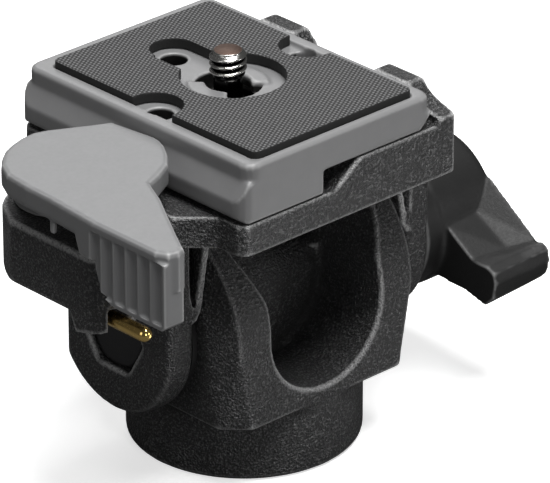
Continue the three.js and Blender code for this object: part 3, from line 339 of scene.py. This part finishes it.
pad_rubber = make_pad_rubber(pad_high[2])
print(pad_rubber.name)

# %% [markdown]
# The bright pieces are real metals: a high Metallic value takes the colour from the reflections. A fine noise
# breaks them up, and the inner corners are given a darker colour.

# %% Metals


def make_metal(name, color, corner, roughness, mark_size, mark_height):
    material, tree, shader = start_material(name, color, roughness, metallic=1.0)
    noise = grain(tree, shader, mark_size, mark_height, 2.0)
    vary_roughness(tree, shader, noise, roughness - 0.06, roughness + 0.08)
    corner_toned = blend_color(tree, bend_span(tree, -1.5, -0.2), corner, color)
    tree.links.new(corner_toned, shader.inputs["Base Color"])
    return material


bright_steel = make_metal(
    "bright_steel", (0.6, 0.59, 0.57), (0.05, 0.05, 0.05), 0.22, 0.5 * MM, 0.01 * MM,
)


def make_screw_steel(node_name):
    material, tree, shader = start_material("thread_steel", (0.7, 0.69, 0.67), 0.2, metallic=1.0)
    root_radius, crest_radius = 2.75 * MM, 3.08 * MM
    chamfer_start, chamfer_end = 0.85 * MM, 0.7 * MM
    root_shade, crest_steel = (0.012, 0.012, 0.012), (0.75, 0.74, 0.71)
    low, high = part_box(node_name)
    place = add_node(tree, "ShaderNodeSeparateXYZ", {"Vector": object_places(tree)})
    flat = add_node(tree, "ShaderNodeCombineXYZ", {"X": place.outputs["X"], "Y": place.outputs["Y"]})
    from_axis = add_node(tree, "ShaderNodeVectorMath", {
        0: flat.outputs[0],
        1: ((low[0] + high[0]) / 2, (low[1] + high[1]) / 2, 0),
    }, operation="DISTANCE")
    crest = span(tree, from_axis.outputs["Value"], root_radius, crest_radius)
    # The thread roots are painted near black, as painted shade in the grooves; the crests are bright steel.
    turned = blend_color(tree, crest, root_shade, crest_steel)
    chamfer = span(tree, place.outputs["Z"], high[2] - chamfer_start, high[2] - chamfer_end)
    bright = blend_color(tree, chamfer, turned, crest_steel)
    tip = span(tree, place.outputs["Z"], high[2] - 0.06 * MM, high[2] - 0.02 * MM)
    rust = blend_color(tree, noise_at(tree, 0.5 * MM), (0.07, 0.045, 0.036), (0.16, 0.11, 0.09))
    color = blend_color(tree, tip, bright, rust)
    tree.links.new(color, shader.inputs["Base Color"])
    blunt = add_node(tree, "ShaderNodeMapRange", {"Value": tip, "To Min": 0.2, "To Max": 0.55})
    tree.links.new(blunt.outputs["Result"], shader.inputs["Roughness"])
    return material


screw_steel = make_screw_steel("camera_screw")
dark_steel = make_metal(
    "dark_steel", (0.06, 0.06, 0.062), (0.02, 0.02, 0.02), 0.45, 0.25 * MM, 0.03 * MM,
)
polished_brass = make_metal(
    "polished_brass", (0.92, 0.64, 0.22), (0.3, 0.16, 0.04), 0.2, 0.6 * MM, 0.001 * MM,
)
print(bright_steel.name, screw_steel.name, dark_steel.name, polished_brass.name)

# %% [markdown]
# Every CAD node gets its finish by its slot in the record, so no surface is left plain.

# %% Finishes on the CAD nodes
slot_finish = {
    "cast_black": powder_coat,
    "plate_grey": plate_paint,
    "lever_grey": lever_paint,
    "knob_plastic": knob_finish,
    "nylon": black_nylon,
    "pad_rubber": pad_rubber,
    "steel": bright_steel,
    "screw_steel": screw_steel,
    "dark_steel": dark_steel,
    "brass": polished_brass,
}
node_slot = {part["node"]: part["material_slot"] for part in frame["record"]["subparts"]}
for node_name, node_object in frame["nodes"].items():
    node_object.data.materials.clear()
    node_object.data.materials.append(slot_finish[node_slot[node_name]])
print("finished", len(node_slot), "nodes")

# %% [markdown]
# A die casting has no sharp edge: metal flows into every corner with a small radius, and the paint rounds it
# more. The CAD solid has the right form but knife edges. Bevelling each edge by hand is slow where many faces
# meet. A voxel remesh of a copy, followed by a few smoothing passes, rounds every edge and inner corner
# alike, as casting does, so it is used for the cast, moulded and forged pieces.

# %% Rounded copies of the cast pieces
MERGE_REACH = 0.001 * MM


def cad_copy(node_name):
    shape = bmesh.new()
    shape.from_mesh(frame["nodes"][node_name].data)
    bmesh.ops.remove_doubles(shape, verts=shape.verts, dist=MERGE_REACH)
    return shape


def rounded_mesh(shape, voxel, passes, new_name):
    mesh = bpy.data.meshes.new(new_name)
    shape.to_mesh(mesh)
    shape.free()
    rough = bpy.data.objects.new(new_name + "_rough", mesh)
    bpy.context.scene.collection.objects.link(rough)
    remesh = rough.modifiers.new("remesh", "REMESH")
    remesh.mode = "VOXEL"
    remesh.voxel_size = voxel
    smooth = rough.modifiers.new("smooth", "SMOOTH")
    smooth.factor = 0.5
    smooth.iterations = passes
    graph = bpy.context.evaluated_depsgraph_get()
    finished = bpy.data.meshes.new_from_object(rough.evaluated_get(graph))
    bpy.data.objects.remove(rough)
    return finished


def mark_bend(mesh):
    points = np.zeros(len(mesh.vertices) * 3)
    normals = np.zeros(len(mesh.vertices) * 3)
    ends = np.zeros(len(mesh.edges) * 2, dtype=int)
    mesh.vertices.foreach_get("co", points)
    mesh.vertices.foreach_get("normal", normals)
    mesh.edges.foreach_get("vertices", ends)
    points = points.reshape(-1, 3) / MM
    normals = normals.reshape(-1, 3)
    starts, stops = ends[0::2], ends[1::2]
    neighbours = np.bincount(np.concatenate((starts, stops)), minlength=len(points))
    neighbours = np.maximum(neighbours, 1)

    def mean_of_neighbours(values):
        total = np.bincount(starts, weights=values[stops], minlength=len(points))
        total += np.bincount(stops, weights=values[starts], minlength=len(points))
        return total / neighbours

    sinking = np.zeros(len(points))
    for axis in range(3):
        sinking += (points[:, axis] - mean_of_neighbours(points[:, axis])) * normals[:, axis]
    lengths = np.linalg.norm(points[starts] - points[stops], axis=1)
    bend = 4 * sinking / np.mean(lengths ** 2)
    for _ in range(2):
        bend = (bend + mean_of_neighbours(bend)) / 2
    layer = mesh.attributes.new("bend", "FLOAT", "POINT")
    layer.data.foreach_set("value", bend.astype(np.float32))
    print("  sharpest bend", round(float(np.percentile(bend, 99)), 2), "per mm")


def place_piece(mesh, node_name, new_name):
    piece = bpy.data.objects.new(new_name, mesh)
    bpy.context.scene.collection.objects.link(piece)
    mesh.materials.clear()
    mesh.materials.append(slot_finish[node_slot[node_name]])
    mesh.polygons.foreach_set("use_smooth", [True] * len(mesh.polygons))
    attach(piece, node_body[node_name])
    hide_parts(node_name)
    print(new_name, len(mesh.polygons), "faces")
    return piece


def soften(node_name, voxel, passes, new_name):
    mesh = rounded_mesh(cad_copy(node_name), voxel, passes, new_name)
    mark_bend(mesh)
    return place_piece(mesh, node_name, new_name)


for node_name, voxel_mm, passes, new_name in (
    ("base_body", 0.4, 16, "base_casting"),
    ("platform_body", 0.42, 5, "platform_casting"),
    ("qr_lever", 0.2, 6, "lever_casting"),
    ("plate_body", 0.32, 3, "plate_casting"),
    ("wing_knob", 0.3, 9, "knob_moulding"),
    ("tilt_bolt", 0.27, 2, "bolt_forging"),
):
    soften(node_name, voxel_mm * MM, passes, new_name)

# %% [markdown]
# The pad is soft rubber, so its top edge is rounded and its sides stay plain. A rounded copy at a fine voxel
# keeps the windows true, and the relief on top comes from the material.

# %% Rubber pad
pad_moulding = soften("plate_rubber_pad", 0.2 * MM, 2, "pad_moulding")

# %% [markdown]
# The camera screw stands in the middle of the picture, so its thread is drawn as the real helix. A stack of
# rings follows the height: each point of a ring looks up how far it is from the crest. The tip has a chamfer,
# which cuts the outer radius near the top.

# %% Camera screw


def join_rings(shape, rings):
    rows = [[shape.verts.new(point) for point in ring] for ring in rings]
    for low, high in zip(rows, rows[1:]):
        for side in range(len(low)):
            after = (side + 1) % len(low)
            shape.faces.new((low[side], low[after], high[after], high[side]))
    shape.faces.new(list(reversed(rows[0])))
    shape.faces.new(rows[-1])


def make_camera_screw():
    low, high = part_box("camera_screw")
    centre_x = (low[0] + high[0]) / 2
    centre_y = (low[1] + high[1]) / 2
    top = high[2]
    pitch = 1.27 * MM
    major = 3.17 * MM
    depth = 0.72 * MM
    chamfer = 0.85 * MM
    chamfer_slope = 1.05
    flank_start, flank_share, rounding = 0.12, 0.7, 0.4
    run_in_turns = 0.8
    overlap = 0.3 * MM
    cut = top - 9.2 * MM
    thread_start = top - 4.9 * MM
    shape = cad_copy("camera_screw")
    geometry = shape.verts[:] + shape.edges[:] + shape.faces[:]
    cut_result = bmesh.ops.bisect_plane(
        shape, geom=geometry, plane_co=(0, 0, cut), plane_no=(0, 0, 1), clear_outer=True,
    )
    rim = [item for item in cut_result["geom_cut"] if isinstance(item, bmesh.types.BMEdge)]
    bmesh.ops.contextual_create(shape, geom=rim)
    head = rounded_mesh(shape, 0.16 * MM, 2, "screw_head")
    shape = bmesh.new()
    shape.from_mesh(head)
    bpy.data.meshes.remove(head)
    sides = 72
    rows = 150
    rings = []
    for row in range(rows + 1):
        height = cut - overlap + (top - cut + overlap) * row / rows
        ring = []
        for side in range(sides):
            angle = 2 * math.pi * side / sides
            turn_share = ((height - thread_start) / pitch - side / sides) % 1.0
            crest = 1 - abs(2 * turn_share - 1)
            rise = min(1.0, max(0.0, (crest - flank_start) / flank_share))
            rise = rise * rise * (3 - 2 * rise) * rounding + rise * (1 - rounding)
            run_in = min(1.0, max(0.0, (height - thread_start) / (run_in_turns * pitch)))
            radius = major - depth + depth * rise * run_in
            radius = min(radius, major - chamfer + max(0.0, top - height) * chamfer_slope)
            ring.append((
                centre_x + radius * math.cos(angle),
                centre_y + radius * math.sin(angle),
                height,
            ))
        rings.append(ring)
    join_rings(shape, rings)
    mesh = bpy.data.meshes.new("camera_screw_turned")
    shape.to_mesh(mesh)
    shape.free()
    place_piece(mesh, "camera_screw", "camera_screw_turned")


make_camera_screw()

# %% [markdown]
# The safety pin is a plain turned rod with a domed tip. A half outline from the tip to the tail, carried
# round the rod's own axis in many steps, gives the dome that the CAD solid leaves as one chamfer.
# The tail has a chamfer too.

# %% Safety pin


def make_safety_pin():
    low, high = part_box("safety_pin")
    centre_x = (low[0] + high[0]) / 2
    centre_z = (low[2] + high[2]) / 2
    clearance = 0.04 * MM
    tail_chamfer = 0.6 * MM
    tip_hole = 0.02 * MM
    dome_steps = 10
    radius = (high[0] - low[0]) / 2 - clearance
    outline = []
    for step in range(dome_steps + 1):
        angle = math.pi / 2 * step / dome_steps
        outline.append((radius * math.sin(angle), low[1] + radius * (1 - math.cos(angle))))
    outline.append((radius, high[1] - tail_chamfer))
    outline.append((radius - tail_chamfer, high[1]))
    outline[0] = (tip_hole, low[1])
    shape = bmesh.new()
    sides = 48
    rings = []
    for reach, y in outline:
        rings.append([(
            centre_x + reach * math.cos(2 * math.pi * side / sides),
            y,
            centre_z - reach * math.sin(2 * math.pi * side / sides),
        ) for side in range(sides)])
    join_rings(shape, rings)
    bmesh.ops.recalc_face_normals(shape, faces=shape.faces)
    mesh = bpy.data.meshes.new("safety_pin_turned")
    shape.to_mesh(mesh)
    shape.free()
    place_piece(mesh, "safety_pin", "safety_pin_turned")


make_safety_pin()

# %% [markdown]
# The floor glows pale for the camera, but it is a dark sheet for every other ray, so it throws no light up on
# the castings. The world lights the head softly, and shows white where the camera looks past the head.
# A lamp is placed by its azimuth and elevation in degrees and its reach in metres. Its width and height are
# in metres too, and its power is in watts.

# %% Floor, world and lamps
FLOOR_REACH = 3.0
WORLD_STRENGTH = 0.06


def make_floor():
    shape = bmesh.new()
    bmesh.ops.create_grid(shape, x_segments=1, y_segments=1, size=FLOOR_REACH)
    mesh = bpy.data.meshes.new("floor")
    shape.to_mesh(mesh)
    shape.free()
    floor = bpy.data.objects.new("floor", mesh)
    bpy.context.scene.collection.objects.link(floor)
    material = bpy.data.materials.new("floor_white")
    material.use_nodes = True
    tree = material.node_tree
    tree.nodes.clear()
    output = add_node(tree, "ShaderNodeOutputMaterial")
    sheet = add_node(tree, "ShaderNodeBsdfDiffuse", {"Color": (0.75, 0.75, 0.75, 1)})
    glow = add_node(tree, "ShaderNodeEmission", {"Color": (1, 1, 1, 1), "Strength": 0.62})
    seen = add_node(tree, "ShaderNodeAddShader", {0: sheet.outputs[0], 1: glow.outputs[0]})
    plain = add_node(tree, "ShaderNodeBsdfDiffuse", {"Color": (0.08, 0.08, 0.08, 1)})
    path = add_node(tree, "ShaderNodeLightPath")
    mix = add_node(tree, "ShaderNodeMixShader", {
        0: path.outputs["Is Camera Ray"],
        1: plain.outputs[0],
        2: seen.outputs[0],
    })
    tree.links.new(mix.outputs[0], output.inputs["Surface"])
    mesh.materials.append(material)


def make_world(strength):
    world = bpy.data.worlds.new("studio")
    world.use_nodes = True
    tree = world.node_tree
    tree.nodes.clear()
    output = add_node(tree, "ShaderNodeOutputWorld")
    light = add_node(tree, "ShaderNodeBackground", {"Color": (1, 1, 1, 1), "Strength": strength})
    seen = add_node(tree, "ShaderNodeBackground", {"Color": (1, 1, 1, 1), "Strength": 1.0})
    path = add_node(tree, "ShaderNodeLightPath")
    mix = add_node(tree, "ShaderNodeMixShader", {
        0: path.outputs["Is Camera Ray"],
        1: light.outputs[0],
        2: seen.outputs[0],
    })
    tree.links.new(mix.outputs[0], output.inputs["Surface"])
    bpy.context.scene.world = world


def add_lamp(name, azimuth_deg, elevation_deg, reach, width, height, power):
    lamp_data = bpy.data.lights.new(name, "AREA")
    lamp_data.shape = "RECTANGLE"
    lamp_data.size = width
    lamp_data.size_y = height
    lamp_data.energy = power
    lamp = bpy.data.objects.new(name, lamp_data)
    side = math.radians(azimuth_deg)
    rise = math.radians(elevation_deg)
    centre = Vector((0, 0, 40 * MM))
    away = Vector((math.cos(side) * math.cos(rise), math.sin(side) * math.cos(rise), math.sin(rise)))
    lamp.location = centre + away * reach
    lamp.rotation_euler = away.to_track_quat("Z", "Y").to_euler()
    bpy.context.scene.collection.objects.link(lamp)
    return lamp


def add_floor_strip(name, azimuth_deg, x, y, length, width, power):
    lamp = add_lamp(name, 0, -90, 0, length, width, power)
    lamp.location = (x, y, 1 * MM)
    lamp.rotation_euler = (math.pi, 0, math.radians(azimuth_deg))
    lamp.visible_camera = False


make_floor()
make_world(WORLD_STRENGTH)
add_lamp("overhead_softbox", -95, 77, 0.8, 0.5, 0.5, 11.0)
add_lamp("front_softbox", -58, 9, 0.8, 0.1, 0.2, 0.7)
add_lamp("front_fill", -106, 14, 0.8, 0.16, 0.2, 0.8)
add_floor_strip("floor_strip", -46, 0.078, -0.125, 0.22, 0.04, 0.065)
add_lamp("rear_fill", 55, 38, 0.9, 0.5, 0.5, 2.2)
add_lamp("side_fill", 180, 25, 0.9, 0.4, 0.5, 1.0)
bpy.context.scene.view_settings.view_transform = "Standard"
